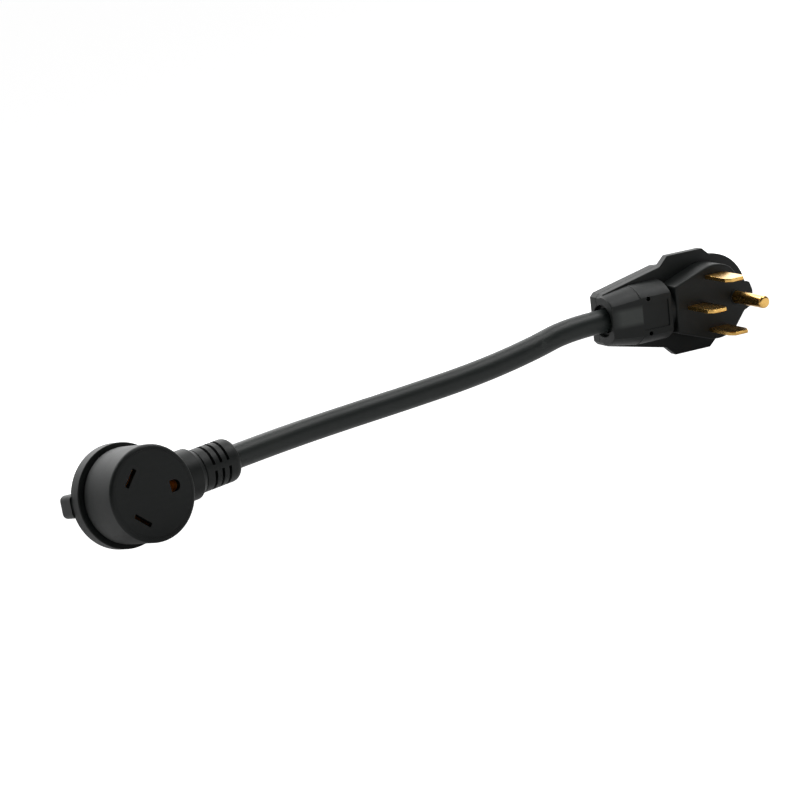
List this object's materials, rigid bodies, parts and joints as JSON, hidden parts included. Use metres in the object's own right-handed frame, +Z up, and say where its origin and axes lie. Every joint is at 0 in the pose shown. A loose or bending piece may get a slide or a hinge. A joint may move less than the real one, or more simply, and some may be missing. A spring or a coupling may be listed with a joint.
{
  "type": "adapter cord",
  "caption": "Short stiff adapter cord with a right-angle blade-and-pin plug on a grip plate at one end and a round right-angle slotted connector with a ribbed strain relief at the other.",
  "frame": {"origin": "on the ground under the middle of the object as it lies on its side", "axes": "+Z up, +X from the connector to the plug, both faces look towards -Y"},
  "size_m": [0.4214, 0.1178, 0.0581],
  "materials": {
    "moulded_black": "fine matt moulded PVC",
    "cord_jacket": "satin extruded PVC jacket",
    "carrier_plastic": "plain rigid moulding",
    "brass": "stamped bright brass",
    "contact_copper": "copper alloy spring contact",
    "copper": "bare copper strands",
    "black_insulation": "extruded insulation",
    "white_insulation": "extruded insulation",
    "green_insulation": "extruded insulation"
  },
  "bodies": {
    "root": {"connector_body_shell": "moulded_black", "connector_contact_carrier": "carrier_plastic", "connector_cord_tail": "cord_jacket", "connector_face": "moulded_black", "connector_ground_contact": "contact_copper", "connector_ground_strands": "copper", "connector_ground_wire": "green_insulation", "connector_hot_contact": "contact_copper", "connector_hot_strands": "copper", "connector_hot_wire": "black_insulation", "connector_neutral_contact": "contact_copper", "connector_neutral_strands": "copper", "connector_neutral_wire": "white_insulation", "connector_rear_cap": "moulded_black", "connector_strain_relief": "moulded_black", "cord_jacket": "cord_jacket", "ground_pin": "brass", "lower_hot_blade": "brass", "neutral_blade": "brass", "plug_back_cover": "moulded_black", "plug_cord_collar": "moulded_black", "plug_cord_tail": "cord_jacket", "plug_front_shell": "moulded_black", "plug_ground_strands": "copper", "plug_ground_wire": "green_insulation", "plug_hot_strands": "copper", "plug_hot_wire": "black_insulation", "plug_neutral_strands": "copper", "plug_neutral_wire": "white_insulation", "plug_pin_carrier": "carrier_plastic", "upper_hot_blade": "brass"}
  },
  "joints": []
}
